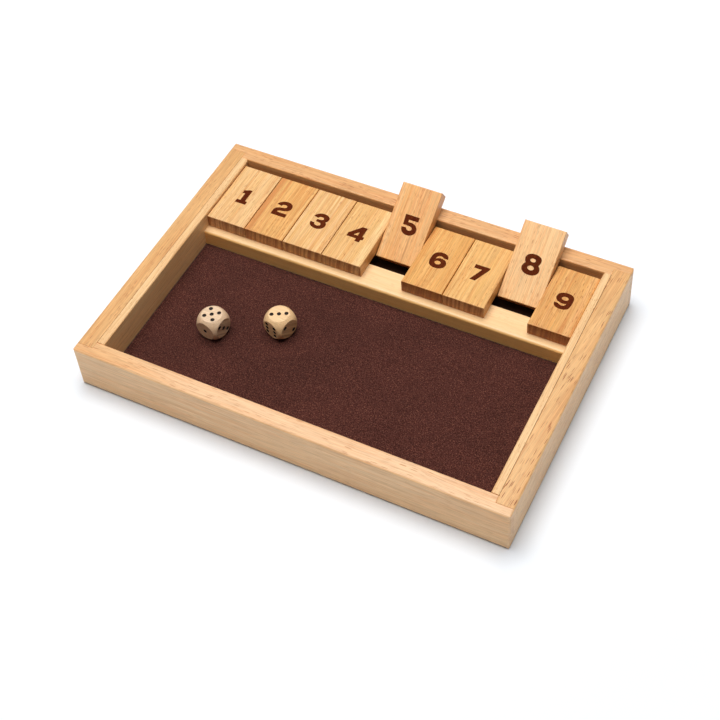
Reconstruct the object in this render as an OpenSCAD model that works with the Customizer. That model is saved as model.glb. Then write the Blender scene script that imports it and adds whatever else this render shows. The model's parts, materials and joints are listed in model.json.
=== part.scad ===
// Wooden shut-the-box game: a shallow case with a felt tray in front and, behind a ledge, nine numbered
// tiles that turn on one hidden rod. A tile lies flat on the ledge, or is flipped up and over until it
// leans on the back rail. Millimetres. X runs along the case, Y to its back, Z up.
// The origin is at the middle of the case's underside.

/* [Case] */
// Height of the four outer rails
case_h = 32.4; // [30:0.1:45]
// Thickness of the front and back rails
rail_t = 10.8; // [8:0.1:14]
// Thickness of the two side rails
side_t = 10.8; // [8:0.1:14]
// How far the side rails' ends reach into the rebates of the front and back rails
rebate_d = 5; // [3.5:0.1:6]
// Radius of the case's four upright corners
corner_r = 2; // [1:0.1:3]
// Radius of the rails' outer top edges
top_r = 1.1; // [0.4:0.1:2.4]
// Radius of the rails' outer bottom edges
bottom_r = 2.3; // [0.3:0.1:3]
// Radius of the rails' inner top edges, where a raised tile leans
inner_r = 0.8; // [0.3:0.1:1.5]
// Radius that eases the top edges on both sides of the joints between rails and liners
joint_r = 0.3; // [0.1:0.1:0.6]

/* [Base] */
// Height of the base board's underside above the table
board_rise = 4.6; // [3.4:0.1:8]
// Thickness of the base board
board_t = 4; // [3:0.1:4.6]
// Depth of the grooves that hold the base board
groove_d = 4; // [2.5:0.1:4.6]
// Play between the base board's edge and the bottom of its groove
board_gap = 0.3; // [0.1:0.1:1]

/* [Tray] */
// Front-to-back depth of the felt tray
tray_w = 113; // [80:0.5:160]
// Thickness of the felt
felt_t = 1.7; // [1:0.1:3]

/* [Ledge and liners] */
// Front-to-back depth of the ledge
ledge_d = 17.7; // [14:0.1:24]
// Height of the ledge above the base board
ledge_h = 12.4; // [11.7:0.1:13.4]
// Radius of the ledge's front top edge
ledge_front_r = 1.8; // [0.5:0.1:3]
// Radius of the ledge's rear top edge
ledge_rear_r = 0.5; // [0.3:0.1:1.5]
// Thickness of the liner strips at the two ends
liner_t = 4.9; // [4:0.1:8]
// Radius of the liners' inner top edges
liner_top_r = 1.2; // [0.4:0.1:2.5]
// Radius of the liners' upright edge at the back rail
liner_end_r = 1.6; // [0.5:0.1:2.5]

/* [Tiles] */
// Width of a tile
tile_w = 27.2; // [20:0.1:34]
// Length of a tile
tile_l = 50.4; // [47:0.1:51.2]
// Thickness of a tile
tile_t = 9; // [8:0.1:10]
// Rounding of a tile's long edges and end edges
tile_r = 0.6; // [0.2:0.1:1.2]
// Gap beside each tile
tile_gap = 0.4; // [0.3:0.1:1]
// How far a flat tile's front end reaches over the ledge
tile_rest = 12.3; // [10:0.1:13]
// Distance from a tile's front end to the middle of its bore
bore_from_front = 35.1; // [34.3:0.1:37]
// Play between a flat tile and the ledge, and between a leaning tile and the back rail
rest_gap = 0.2; // [0.1:0.05:0.4]
// Clearance between the short end of a turning tile and the back rail
bay_play = 3.2; // [0.5:0.1:6]

/* [Rod] */
// Diameter of the tile rod
rod_d = 4; // [3:0.1:4.6]
// Play of the tile's bore on the rod, across its diameter
rod_play = 0.6; // [0.4:0.1:1]
// Gap between each end of the rod and the side rail
rod_end_gap = 0.4; // [0.2:0.1:1]

/* [Dice] */
// Size of a die from face to face
die_s = 16; // [12:0.1:20]
// How much larger than the die the ball is that rounds its corners
die_ball_extra = 4.6; // [3:0.1:5.5]
// Width of a pip
pip_d = 2.6; // [1.4:0.1:2.8]
// Depth of a pip
pip_depth = 0.8; // [0.4:0.1:1]
// Distance of the outer pips from the middle of their face, along each side
pip_spread = 3.2; // [2.6:0.1:3.3]
// Gap between a resting die and the felt
die_gap = 0.1; // [0.05:0.05:0.3]
// Place of the first die: from the left liner
die_1_from_left = 43.4; // [20:0.1:60]
// Place of the first die: from the front rail
die_1_from_front = 50.7; // [20:0.1:60]
// Turn of the first die, in degrees clockwise from above
die_1_turn = 8.5; // [0:0.5:45]
// Place of the second die: from the left liner
die_2_from_left = 80.8; // [78:0.1:110]
// Place of the second die: from the front rail
die_2_from_front = 67.6; // [40:0.1:70]
// Turn of the second die, in degrees clockwise from above
die_2_turn = 17; // [0:0.5:45]

/* [Hidden] */

TILE_COUNT = 9;
RAISED_TILES = [5, 8];
EPS = 0.05;

// Pips seen on top, in front and on the right of each die; opposite faces add up to seven
DIE_1_FACES = [5, 1, 3];
DIE_2_FACES = [3, 6, 2];
OPPOSITE_SUM = 7;
// Ways that the diagonal of a face with two or three pips runs, seen from outside
RISING = 1;
FALLING = -1;

rail_color = "#E3B27B";
liner_color = "#F2CB98";
ledge_color = "#F0CC99";
board_color = "#B98C5C";
felt_color = "#553230";
rod_color = "#B9BCC0";
tile_color = "#E2AE6B";
die_color = "#EBD1A2";

// Lengths along X
tile_pitch = tile_w + tile_gap;
inner_l = TILE_COUNT * tile_pitch + tile_gap;
side_in_x = inner_l / 2 + liner_t;
case_l = 2 * (side_in_x + side_t);
rod_l = 2 * (side_in_x - rod_end_gap);

// Places along Y; the bay is as wide as a turning tile's short end needs
short_sweep = norm([tile_l - bore_from_front, tile_t / 2]);
bay_w = bore_from_front - tile_rest + short_sweep + bay_play;
inner_w = tray_w + ledge_d + bay_w;
case_w = inner_w + 2 * rail_t;
front_in_y = -inner_w / 2;
back_in_y = inner_w / 2;
ledge_y = front_in_y + tray_w;
bay_y = ledge_y + ledge_d;
tile_front_y = bay_y - tile_rest;
rod_y = tile_front_y + bore_from_front;

// Heights
board_top = board_rise + board_t;
felt_top = board_top + felt_t;
ledge_top = board_top + ledge_h;
rod_z = ledge_top + rest_gap + tile_t / 2;

// A leaning tile's underside clears the back rail's rounded edge by rest_gap: the line from the rod to the
// middle of that rounding, and the angle by which the tile's underside stays below it
lean_dy = back_in_y + inner_r - rod_y;
lean_dz = case_h - inner_r - rod_z;
lean_angle = atan2(lean_dz, lean_dy)
    + asin((tile_t / 2 + inner_r + rest_gap) / norm([lean_dy, lean_dz]));
flip_angle = 180 - lean_angle;

side_l = case_w - 2 * (rail_t - rebate_d);
die_ball_r = (die_s + die_ball_extra) / 2;
pip_r = (pow(pip_d / 2, 2) + pow(pip_depth, 2)) / (2 * pip_depth);

echo(case_l = case_l, case_w = case_w, case_h = case_h);
echo(rod_y = rod_y, rod_z = rod_z, flip_angle = flip_angle);

// Bar along +X that rounds the edge at the origin of a block lying towards -Y and -Z
module edge_bar(length, r) {
    translate([-EPS, -r, -r])
        difference() {
            cube([length + 2 * EPS, r + EPS, r + EPS]);
            translate([-EPS, 0, 0])
                rotate([0, 90, 0])
                    cylinder(r = r, h = length + 4 * EPS, $fn = 32);
        }
}

// The same bar along all four sides of a block's top face, centred on the Z axis
module top_edge_bars(length, width, r) {
    for (turn = [0, 180])
        rotate([0, 0, turn]) {
            translate([-length / 2, width / 2, 0])
                edge_bar(length, r);
            translate([length / 2, width / 2, 0])
                rotate([0, 0, -90])
                    edge_bar(width, r);
        }
}

// Outline with round corners, centred
module round_rect(length, width, r) {
    square([length - 2 * r, width], center = true);
    square([length, width - 2 * r], center = true);
    for (sx = [-1, 1], sy = [-1, 1])
        translate([sx * (length / 2 - r), sy * (width / 2 - r)])
            circle(r = r, $fn = 24);
}

// The whole case as one block, with its outer edges rounded
module case_block() {
    difference() {
        linear_extrude(case_h)
            round_rect(case_l, case_w, corner_r);
        translate([0, 0, case_h])
            top_edge_bars(case_l, case_w, top_r);
        mirror([0, 0, 1])
            top_edge_bars(case_l, case_w, bottom_r);
    }
}

// Bars that ease the front rail's top edges along its right rebate
module rebate_easing() {
    translate([side_in_x, front_in_y - rebate_d, case_h])
        edge_bar(side_t, joint_r);
    translate([side_in_x, front_in_y, case_h])
        rotate([0, 0, -90])
            edge_bar(rebate_d, joint_r);
}

// Front rail: its outer half runs the full length, its inner half ends at the side rails
module long_rail() {
    difference() {
        intersection() {
            case_block();
            translate([-case_l / 2, -case_w / 2, 0])
                cube([case_l, rail_t, case_h]);
        }
        for (side = [0, 1])
            mirror([side, 0, 0])
                translate([side_in_x, front_in_y - rebate_d, -EPS])
                    cube([side_t + EPS, rebate_d + EPS, case_h + 2 * EPS]);
        translate([-side_in_x - groove_d, front_in_y - groove_d, board_rise])
            cube([2 * (side_in_x + groove_d), groove_d + EPS, board_t]);
        translate([-side_in_x, front_in_y, case_h])
            edge_bar(2 * side_in_x, inner_r);
        for (side = [0, 1])
            mirror([side, 0, 0])
                rebate_easing();
    }
}

// Right rail: its two ends fill the long rails' rebates
module side_rail() {
    difference() {
        intersection() {
            case_block();
            translate([side_in_x, -side_l / 2, 0])
                cube([side_t, side_l, case_h]);
        }
        translate([side_in_x - EPS, -side_l / 2 - EPS, board_rise])
            cube([groove_d + EPS, side_l + 2 * EPS, board_t]);
        translate([side_in_x, -side_l / 2, case_h])
            rotate([0, 0, 90])
                edge_bar(side_l, joint_r);
        for (end = [0, 1])
            mirror([0, end, 0])
                translate([side_in_x, side_l / 2, case_h])
                    edge_bar(side_t, joint_r);
    }
}

module front_rail() {
    color(rail_color)
        long_rail();
}

module back_rail() {
    color(rail_color)
        rotate([0, 0, 180])
            long_rail();
}

module right_rail() {
    color(rail_color)
        side_rail();
}

module left_rail() {
    color(rail_color)
        rotate([0, 0, 180])
            side_rail();
}

// Right liner strip: stands on the base board and holds one end of the rod
module liner() {
    difference() {
        translate([inner_l / 2, front_in_y, board_top])
            cube([liner_t, inner_w, case_h - board_top]);
        translate([inner_l / 2, front_in_y, case_h])
            rotate([0, 0, 90])
                edge_bar(inner_w, liner_top_r);
        translate([side_in_x, back_in_y, case_h])
            rotate([0, 0, -90])
                edge_bar(inner_w, joint_r);
        translate([inner_l / 2, back_in_y, board_top])
            rotate([0, -90, 0])
                edge_bar(case_h - board_top, liner_end_r);
        translate([inner_l / 2 - EPS, rod_y, rod_z])
            rotate([0, 90, 0])
                cylinder(d = rod_d, h = liner_t + 2 * EPS, $fn = 32);
    }
}

module right_liner() {
    color(liner_color)
        liner();
}

module left_liner() {
    color(liner_color)
        mirror([1, 0, 0])
            liner();
}

// Front wall of the tile bay; flat tiles rest on it
module ledge() {
    color(ledge_color)
        difference() {
            translate([-inner_l / 2, ledge_y, board_top])
                cube([inner_l, ledge_d, ledge_h]);
            translate([inner_l / 2, ledge_y, ledge_top])
                rotate([0, 0, 180])
                    edge_bar(inner_l, ledge_front_r);
            translate([-inner_l / 2, bay_y, ledge_top])
                edge_bar(inner_l, ledge_rear_r);
        }
}

// Board let into the rails' grooves all round
module base_board() {
    board_l = 2 * (side_in_x + groove_d - board_gap);
    board_w = inner_w + 2 * (groove_d - board_gap);
    color(board_color)
        translate([-board_l / 2, -board_w / 2, board_rise])
            cube([board_l, board_w, board_t]);
}

module felt_mat() {
    color(felt_color)
        translate([-inner_l / 2, front_in_y, board_top])
            cube([inner_l, tray_w, felt_t]);
}

module tile_rod() {
    color(rod_color)
        translate([-rod_l / 2, rod_y, rod_z])
            rotate([0, 90, 0])
                cylinder(d = rod_d, h = rod_l, $fn = 48);
}

// A tile with the middle of its bore at the origin and its front end towards -Y
module tile_body() {
    difference() {
        translate([0, tile_l / 2 - bore_from_front, 0])
            intersection() {
                rotate([90, 0, 0])
                    translate([0, 0, -tile_l / 2])
                        linear_extrude(tile_l)
                            round_rect(tile_w, tile_t, tile_r);
                rotate([90, 0, 90])
                    translate([0, 0, -tile_w / 2])
                        linear_extrude(tile_w)
                            round_rect(tile_l, tile_t, tile_r);
            }
        rotate([0, 90, 0])
            cylinder(d = rod_d + rod_play, h = tile_w + 2 * EPS, center = true, $fn = 32);
    }
}

// Tile n in its place; a raised one is turned front end up and over to the back
module tile(n) {
    raised = len([for (r = RAISED_TILES) if (r == n) r]) > 0;
    tile_x = -inner_l / 2 + tile_gap + tile_w / 2 + (n - 1) * tile_pitch;
    color(tile_color)
        translate([tile_x, rod_y, rod_z])
            rotate([raised ? -flip_angle : 0, 0, 0])
                tile_body();
}

// Pip places on one face in its own axes, as shares of pip_spread; odd counts have a middle pip,
// and slope is the way that the diagonal of a 2 or 3 runs
function pip_places(count, slope) = concat(
    count % 2 == 1 ? [[0, 0]] : [],
    count >= 2 ? [[-1, -slope], [1, slope]] : [],
    count >= 4 ? [[-1, slope], [1, -slope]] : [],
    count == 6 ? [[-1, 0], [1, 0]] : []
);

// Dimples of one face, on top of a die that is centred at the origin
module face_pips(count, slope) {
    for (place = pip_places(count, slope))
        translate([place[0] * pip_spread, place[1] * pip_spread, die_s / 2 - pip_depth + pip_r])
            sphere(r = pip_r, $fn = 20);
}

// A die centred at the origin; faces holds the counts on top, in front and on the right
module die_body(faces) {
    difference() {
        intersection() {
            cube(die_s, center = true);
            sphere(r = die_ball_r, $fn = 64);
        }
        face_pips(faces[0], RISING);
        rotate([180, 0, 0])
            face_pips(OPPOSITE_SUM - faces[0], RISING);
        rotate([90, 0, 0])
            face_pips(faces[1], RISING);
        rotate([90, 0, 180])
            face_pips(OPPOSITE_SUM - faces[1], RISING);
        rotate([90, 0, 90])
            face_pips(faces[2], FALLING);
        rotate([90, 0, 270])
            face_pips(OPPOSITE_SUM - faces[2], RISING);
    }
}

module place_die(from_left, from_front, turn) {
    translate([-inner_l / 2 + from_left, front_in_y + from_front, felt_top + die_gap + die_s / 2])
        rotate([0, 0, -turn])
            children();
}

module die_1() {
    color(die_color)
        place_die(die_1_from_left, die_1_from_front, die_1_turn)
            die_body(DIE_1_FACES);
}

module die_2() {
    color(die_color)
        place_die(die_2_from_left, die_2_from_front, die_2_turn)
            die_body(DIE_2_FACES);
}

front_rail();
back_rail();
left_rail();
right_rail();
left_liner();
right_liner();
ledge();
base_board();
felt_mat();
tile_rod();
for (n = [1 : TILE_COUNT])
    tile(n);
die_1();
die_2();
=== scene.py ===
"""Wooden shut-the-box game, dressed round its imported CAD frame.

Metres, in the frame's own axes: X runs along the case, Y to its back, Z up. Patterns in the materials are
worked out in millimetres, in axes that follow the grain of each piece of wood.
"""
import json
import logging
import math
from dataclasses import dataclass, field, replace
from enum import Enum
from typing import Optional, Sequence, Union

import bmesh
import bpy
from mathutils import Euler, Matrix, Vector, noise


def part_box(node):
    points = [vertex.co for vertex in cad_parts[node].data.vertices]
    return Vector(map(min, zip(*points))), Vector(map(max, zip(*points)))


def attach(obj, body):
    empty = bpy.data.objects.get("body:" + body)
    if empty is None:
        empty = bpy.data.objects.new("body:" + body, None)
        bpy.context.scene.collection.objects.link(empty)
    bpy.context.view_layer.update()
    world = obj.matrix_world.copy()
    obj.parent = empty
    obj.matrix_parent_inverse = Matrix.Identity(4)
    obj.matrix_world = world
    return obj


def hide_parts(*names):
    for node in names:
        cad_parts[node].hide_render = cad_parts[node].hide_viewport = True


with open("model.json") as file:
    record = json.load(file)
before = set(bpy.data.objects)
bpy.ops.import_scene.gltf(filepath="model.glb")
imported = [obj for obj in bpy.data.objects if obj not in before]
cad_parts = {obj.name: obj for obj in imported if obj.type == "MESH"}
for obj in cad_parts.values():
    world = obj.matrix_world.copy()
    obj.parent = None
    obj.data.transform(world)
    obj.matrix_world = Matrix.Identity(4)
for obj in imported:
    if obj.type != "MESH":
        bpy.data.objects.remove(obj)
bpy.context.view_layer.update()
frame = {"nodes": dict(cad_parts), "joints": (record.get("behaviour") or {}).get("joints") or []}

log = logging.getLogger("shut_the_box")

MM = 0.001
Colour = tuple[float, float, float]
Wave = tuple[float, float, float]
Span = tuple[float, float]
Socket = bpy.types.NodeSocket
Feed = Union[Socket, float, Sequence[float]]

# How squarely a face looks along an axis, from not at all to fully
FLAT_FACE: Span = (0.6, 0.9)
END_FACE: Span = (0.75, 0.97)
OUTER_FACE: Span = (0.3, 0.8)
# Where most values of a noise lie
MOST: Span = (0.3, 0.7)


def srgb(red: int, green: int, blue: int) -> Colour:
    """Turns a colour as a screen shows it into the renderer's linear values.

    Args:
        red, green, blue: the screen's values, 0 to 255.

    Returns:
        The three linear values.
    """
    def linear(value: float) -> float:
        """Returns one channel."""
        return value / 12.92 if value <= 0.04045 else ((value + 0.055) / 1.055) ** 2.4

    return linear(red / 255), linear(green / 255), linear(blue / 255)


# Material building

class NodeBoard:
    """A material's node tree, with short calls that add a node and return its output."""

    def __init__(self, name: str) -> None:
        """Starts an empty tree with a Principled shader.

        Args:
            name: the material's name.
        """
        self.material = bpy.data.materials.new(name)
        self.material.use_nodes = True
        self.tree = self.material.node_tree
        self.tree.nodes.clear()
        self.shader = self.tree.nodes.new("ShaderNodeBsdfPrincipled")
        output = self.tree.nodes.new("ShaderNodeOutputMaterial")
        self.tree.links.new(self.shader.outputs["BSDF"], output.inputs["Surface"])

    def feed(self, target: Socket, value: Feed) -> None:
        """Links a socket to an input, or sets the input's own value.

        Args:
            target: the input.
            value: an output socket, a number or a few numbers.
        """
        if isinstance(value, bpy.types.NodeSocket):
            self.tree.links.new(value, target)
        elif target.type == "RGBA":
            target.default_value = (*value, 1.0)
        elif isinstance(value, (int, float)):
            target.default_value = value
        else:
            target.default_value = tuple(value)

    def math(self, operation: str, *values: Feed) -> Socket:
        """Works out one number from others.

        Args:
            operation: what the math node does.
            values: its inputs in order.

        Returns:
            The result.
        """
        node = self.tree.nodes.new("ShaderNodeMath")
        node.operation = operation
        for socket, value in zip(node.inputs, values):
            self.feed(socket, value)
        return node.outputs[0]

    def times(self, first: Feed, *others: Feed) -> Feed:
        """Multiplies numbers.

        Args:
            first, others: the numbers.

        Returns:
            Their product.
        """
        for other in others:
            first = self.math("MULTIPLY", first, other)
        return first

    def vector(self, operation: str, first: Feed, second: Feed = (0, 0, 0)) -> Socket:
        """Works out a vector, or a number, from one or two inputs.

        Args:
            operation: what the vector math node does.
            first: a vector.
            second: another vector, or for SCALE a number.

        Returns:
            The result.
        """
        node = self.tree.nodes.new("ShaderNodeVectorMath")
        node.operation = operation
        self.feed(node.inputs[0], first)
        self.feed(node.inputs["Scale" if operation == "SCALE" else 1], second)
        return node.outputs["Value" if operation in ("DOT_PRODUCT", "LENGTH") else "Vector"]

    def split(self, value: Feed) -> tuple[Socket, Socket, Socket]:
        """Takes a vector apart.

        Args:
            value: the vector.

        Returns:
            Its three parts.
        """
        node = self.tree.nodes.new("ShaderNodeSeparateXYZ")
        self.feed(node.inputs[0], value)
        return node.outputs[0], node.outputs[1], node.outputs[2]

    def noise(self, place: Feed, wave: Optional[Wave], detail: float = 2.0, rough: float = 0.5) -> Socket:
        """Adds a noise.

        Args:
            place: the place in millimetres, or a single number where wave is None.
            wave: waves to the millimetre along each axis.
            detail: how many finer layers it has.
            rough: how strong these are.

        Returns:
            The noise from 0 to 1, with most of it near 0.5.
        """
        node = self.tree.nodes.new("ShaderNodeTexNoise")
        if wave is None:
            node.noise_dimensions = "1D"
            self.feed(node.inputs["W"], place)
        else:
            self.feed(node.inputs["Vector"], self.vector("MULTIPLY", place, wave))
        for name, value in (("Scale", 1.0), ("Detail", detail), ("Roughness", rough)):
            node.inputs[name].default_value = value
        return node.outputs["Fac"]

    def cells(self, place: Feed, wave: Wave) -> tuple[Socket, Socket]:
        """Adds many scattered points.

        Args:
            place: the place in millimetres.
            wave: points to the millimetre along each axis.

        Returns:
            The distance to the nearest point, and that point's random number.
        """
        node = self.tree.nodes.new("ShaderNodeTexVoronoi")
        self.feed(node.inputs["Vector"], self.vector("MULTIPLY", place, wave))
        node.inputs["Scale"].default_value = 1.0
        return node.outputs["Distance"], self.split(node.outputs["Color"])[0]

    def step(self, value: Feed, start: float, end: float, low: float = 0.0, high: float = 1.0) -> Socket:
        """Adds a smooth rise that is level outside its ends.

        Args:
            value: what is measured.
            start, end: where the rise begins and ends.
            low, high: the result at these two.

        Returns:
            The result.
        """
        node = self.tree.nodes.new("ShaderNodeMapRange")
        node.interpolation_type = "SMOOTHSTEP"
        for socket, number in zip(node.inputs[:5], (value, start, end, low, high)):
            self.feed(socket, number)
        return node.outputs[0]

    def mix(self, share: Feed, first: Feed, second: Feed, blend: str = "MIX") -> Socket:
        """Mixes two colours.

        Args:
            share: how much of the second is taken.
            first, second: the colours.
            blend: how the second acts on the first.

        Returns:
            The mixed colour.
        """
        node = self.tree.nodes.new("ShaderNodeMix")
        node.data_type = "RGBA"
        node.blend_type = blend
        for index, value in ((0, share), (6, first), (7, second)):
            self.feed(node.inputs[index], value)
        return node.outputs[2]

    def object_place(self) -> Socket:
        """Returns the place on the piece in metres, which stays on it when it moves."""
        return self.tree.nodes.new("ShaderNodeTexCoord").outputs["Object"]

    def millimetres(self) -> Socket:
        """Returns the place on the piece in millimetres."""
        return self.vector("SCALE", self.object_place(), 1 / MM)

    def object_normal(self) -> Socket:
        """Returns the way the surface faces, in the piece's own axes."""
        return self.tree.nodes.new("ShaderNodeTexCoord").outputs["Normal"]

    def relief(self, height: Feed, depth: float, strength: float) -> None:
        """Gives the surface a bump.

        Args:
            height: the height as a share of depth.
            depth: the bump's depth in metres.
            strength: how much of it shows.
        """
        node = self.tree.nodes.new("ShaderNodeBump")
        node.inputs["Strength"].default_value = strength
        node.inputs["Distance"].default_value = depth
        self.feed(node.inputs["Height"], height)
        self.tree.links.new(node.outputs["Normal"], self.shader.inputs["Normal"])

    def surface(self, colour: Feed, roughness: Feed, levels: dict[str, float]) -> bpy.types.Material:
        """Feeds the shader.

        Args:
            colour, roughness: the base colour and the roughness.
            levels: what is the same all over the surface, by the input's name.

        Returns:
            The finished material.
        """
        self.feed(self.shader.inputs["Base Color"], colour)
        self.feed(self.shader.inputs["Roughness"], roughness)
        for name, value in levels.items():
            self.shader.inputs[name].default_value = value
        return self.material


class GrainRun(Enum):
    """The axis of the frame that a piece's grain follows, with the turn in degrees that brings it to X."""

    ALONG_X = (0.0, 0.0, 0.0)
    ALONG_Y = (0.0, 0.0, -90.0)


@dataclass(frozen=True)
class GrainFrame:
    """Axes along, across and into the grain of one piece, with the middle of the piece as origin.

    They turn by tilt about X with a raised tile. Where outward is given it is the way the piece's outer face
    looks, and half_size is half of the piece's size in millimetres.
    """

    middle: Vector
    run: GrainRun
    tilt: float = 0.0
    outward: Optional[Vector] = None
    half_size: Optional[Vector] = None

    def turn(self) -> Matrix:
        """Returns the turn from the frame's axes to the grain's."""
        about_x = Matrix.Rotation(-self.tilt, 3, "X")
        return Euler([math.radians(a) for a in self.run.value]).to_matrix() @ about_x

    def place(self, board: NodeBoard) -> Socket:
        """Reads the place along, across and into the grain.

        Args:
            board: the material that reads it.

        Returns:
            The place in millimetres.
        """
        turn = self.turn()
        node = board.tree.nodes.new("ShaderNodeMapping")
        board.feed(node.inputs["Vector"], board.object_place())
        node.inputs["Scale"].default_value = (1 / MM,) * 3
        node.inputs["Rotation"].default_value = turn.to_euler()
        node.inputs["Location"].default_value = -(turn @ self.middle) / MM
        return node.outputs["Vector"]

    def along(self) -> Vector:
        """Returns the grain's direction in the frame."""
        return self.turn().transposed() @ Vector((1, 0, 0))

    def upward(self) -> Vector:
        """Returns the direction of the piece's top face in the frame."""
        return self.turn().transposed() @ Vector((0, 0, 1))


@dataclass(frozen=True)
class Streak:
    """A streak of another colour that runs along the grain, placed in millimetres to the piece's right."""

    across: float
    width: float
    strength: float
    colour: Colour = srgb(205, 130, 70)
    wander: float = 2.2
    wave: Wave = (0.05, 0.02, 0.02)
    gap_step: Span = (0.34, 0.56)
    gap_level: float = 0.45


@dataclass(frozen=True)
class WoodFinish:
    """A varnished light wood: growth rings, fine fibres, short dark pores and an end grain.

    Lengths are in millimetres and waves in waves to the millimetre, both along, across and into the grain.
    Each tint multiplies the colour of the faces that its name tells: the side and outer face tints are
    painted light and shade, and the end tint is painted light and shade over the end grain's own tone.
    """

    name: str
    pale: Colour
    gold: Colour
    pore: Colour = srgb(128, 74, 40)
    # Painted light and shade on the end faces, over the end grain's own darker tone
    end_tint: Colour = (0.95, 0.86, 0.80)
    end_rings: float = 0.5
    # Painted light and shade on the faces that are not level, brighter or darker by the piece
    side_face_painted_light: Colour = (1.0, 0.84, 0.62)
    # Painted light on the outer faces, as the bright floor and horizon would give
    outer_face_painted_light: Colour = (1.0, 1.0, 1.0)
    drift_tint: Optional[Colour] = None
    drift_reach: Span = (-55.0, -130.0)
    side_seam: float = 0.0
    end_seam: float = 0.0
    seam_colour: Colour = srgb(96, 56, 30)
    seam_width: Span = (0.45, 0.15)
    seam_gap_step: Span = (0.36, 0.58)
    seam_gap_level: float = 0.35
    seed: float = 0.0
    seed_step: Wave = (37.0, 11.0, 5.0)
    ring_width: float = 3.0
    ring_contrast: float = 0.5
    ring_taper: float = 0.012
    ring_step: Span = (0.36, 0.64)
    pith: Span = (60.0, 90.0)
    sway: float = 1.6
    sway_wave: Wave = (0.011, 0.05, 0.05)
    slope: float = 0.0
    pore_amount: float = 0.6
    pore_length: float = 6.0
    pore_gap: float = 0.85
    pore_share: Span = (0.1, 0.8)
    pore_edge: Span = (0.36, 0.22)
    crowd_wave: Wave = (0.03, 0.14, 0.14)
    crowd_step: Span = (0.36, 0.60)
    crowd_level: float = 0.35
    side_pores: float = 0.4
    fibre_contrast: float = 0.16
    fibre_wave: Wave = (0.05, 2.0, 2.0)
    line_contrast: float = 0.30
    line_wave: Wave = (0.018, 0.62, 0.62)
    line_step: Span = (0.44, 0.66)
    cloud_amount: float = 0.35
    cloud_wave: Wave = (0.012, 0.07, 0.07)
    cloud_step: Span = (0.38, 0.66)
    roughness: float = 0.44
    fibre_roughness: Span = (-0.05, 0.05)
    pore_roughness: float = 0.2
    coat: float = 0.12
    coat_roughness: float = 0.34
    specular: float = 0.42
    relief_depth: float = 0.07 * MM
    relief_strength: float = 0.55
    streaks: tuple[Streak, ...] = ()

    def material(self, grain: GrainFrame) -> bpy.types.Material:
        """Builds the material for one piece.

        Args:
            grain: the axes that follow the piece's grain.

        Returns:
            The material.
        """
        board = NodeBoard(self.name)
        here = grain.place(board)
        spot = board.vector("ADD", here, [self.seed * step for step in self.seed_step])
        swing = board.math("SUBTRACT", board.noise(spot, self.sway_wave, 1.0), 0.5)
        shift = board.vector("SCALE", (0.0, 1.0, 0.6), board.times(swing, 2 * self.sway))
        swayed = board.vector("ADD", spot, shift)
        slant = board.times(board.split(here)[0], self.slope)
        swayed = board.vector("ADD", swayed, board.vector("SCALE", (0.0, 1.0, 0.0), slant))

        rings = self.rings(board, board.vector("ADD", here, shift))
        fibre = board.noise(swayed, self.fibre_wave, 3.0, 0.65)
        line = board.step(board.noise(swayed, self.line_wave, 4.0, 0.7), *self.line_step)
        cloud = board.step(board.noise(spot, self.cloud_wave), *self.cloud_step)
        colour = board.mix(board.times(rings, self.ring_contrast), self.pale, self.gold)
        colour = board.mix(board.times(cloud, self.cloud_amount), colour, self.gold)
        colour = board.mix(board.times(line, self.line_contrast), colour, self.gold, "MULTIPLY")
        for streak in self.streaks:
            colour = self.streaked(board, colour, streak, here, fibre)
        lift = board.step(fibre, *MOST, 1.0 - self.fibre_contrast, 1.0 + self.fibre_contrast * 0.6)
        colour = board.vector("SCALE", colour, lift)

        normal = board.object_normal()
        level = board.math("ABSOLUTE", board.vector("DOT_PRODUCT", normal, grain.upward()))
        pores = board.times(self.pores(board, swayed), board.step(level, *FLAT_FACE, self.side_pores, 1.0))
        colour = board.mix(board.times(pores, self.pore_amount), colour, self.pore)
        facing = board.vector("DOT_PRODUCT", normal, grain.along())
        end = board.step(board.math("ABSOLUTE", facing), *END_FACE)
        # End faces: painted light and shade together with the end grain's own tone
        colour = board.mix(end, colour, self.end_tint, "MULTIPLY")
        colour = board.mix(board.times(end, rings, self.end_rings), colour, self.pore)
        # Painted light and shade on the side and outer faces, by the way each face looks
        colour = self.with_drift_and_painted_light(board, colour, grain, here, level, normal)
        colour = self.seamed(board, colour, grain, here, fibre)

        matt = board.math("MULTIPLY_ADD", pores, self.pore_roughness, self.roughness)
        rough = board.math("ADD", matt, board.step(fibre, *MOST, *self.fibre_roughness))
        height = board.math("SUBTRACT", board.times(fibre, 0.5), pores)
        board.relief(height, self.relief_depth, self.relief_strength)
        return board.surface(colour, rough, {
            "Coat Weight": self.coat, "Coat Roughness": self.coat_roughness,
            "Specular IOR Level": self.specular})

    def with_drift_and_painted_light(
        self, board: NodeBoard, colour: Socket, grain: GrainFrame, place: Socket, level: Socket,
        normal: Socket
    ) -> Socket:
        """Paints light and shade onto a face by the way it looks, and tones the top by how far along the
        piece it is.

        Args:
            board: the material.
            colour: the colour so far.
            grain: the piece's axes.
            place: the place along the grain.
            level: how level the face is.
            normal: the way it looks.

        Returns:
            The new colour.
        """
        if self.drift_tint is not None:
            drift = board.step(board.split(place)[0], *self.drift_reach)
            share = board.times(drift, board.step(level, *FLAT_FACE))
            colour = board.mix(share, colour, self.drift_tint, "MULTIPLY")
        # Painted light and shade: side faces take one colour, outer faces another
        tint: Feed = self.side_face_painted_light
        if grain.outward is not None:
            outer = board.step(board.vector("DOT_PRODUCT", normal, grain.outward), *OUTER_FACE)
            tint = board.mix(outer, self.side_face_painted_light, self.outer_face_painted_light)
        return board.mix(board.step(level, *reversed(FLAT_FACE)), colour, tint, "MULTIPLY")

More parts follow.
